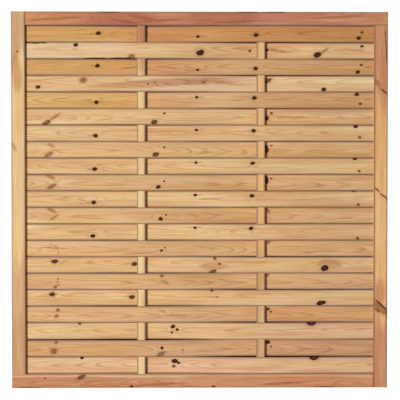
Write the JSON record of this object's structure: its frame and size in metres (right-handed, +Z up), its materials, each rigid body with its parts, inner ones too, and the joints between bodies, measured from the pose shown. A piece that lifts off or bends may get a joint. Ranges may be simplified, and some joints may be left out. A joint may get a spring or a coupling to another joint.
{
  "type": "slatted fence panel",
  "caption": "Square timber fence panel: a butt-jointed frame with thin horizontal slats woven in and out of two upright battens.",
  "frame": {"origin": "centre of the left stile's flat outer face, halfway up the panel and at the middle of its depth", "axes": "+X to the right along the panel as seen from its front, +Y towards its back, +Z up"},
  "size_m": [1.8, 0.045, 1.8],
  "materials": {
    "frame_wood": "planed softwood, dip treated, matt",
    "batten_wood": "planed softwood, matt",
    "slat_wood": "planed knotty pine, dip treated, matt"
  },
  "bodies": {
    "root": {"left_stile": "frame_wood", "right_stile": "frame_wood", "top_rail": "frame_wood", "bottom_rail": "frame_wood", "left_batten": "batten_wood", "right_batten": "batten_wood", "slat_01": "slat_wood", "slat_02": "slat_wood", "slat_03": "slat_wood", "slat_04": "slat_wood", "slat_05": "slat_wood", "slat_06": "slat_wood", "slat_07": "slat_wood", "slat_08": "slat_wood", "slat_09": "slat_wood", "slat_10": "slat_wood", "slat_11": "slat_wood", "slat_12": "slat_wood", "slat_13": "slat_wood", "slat_14": "slat_wood", "slat_15": "slat_wood", "slat_16": "slat_wood", "slat_17": "slat_wood", "slat_18": "slat_wood", "slat_19": "slat_wood", "slat_20": "slat_wood", "slat_21": "slat_wood"}
  },
  "joints": []
}
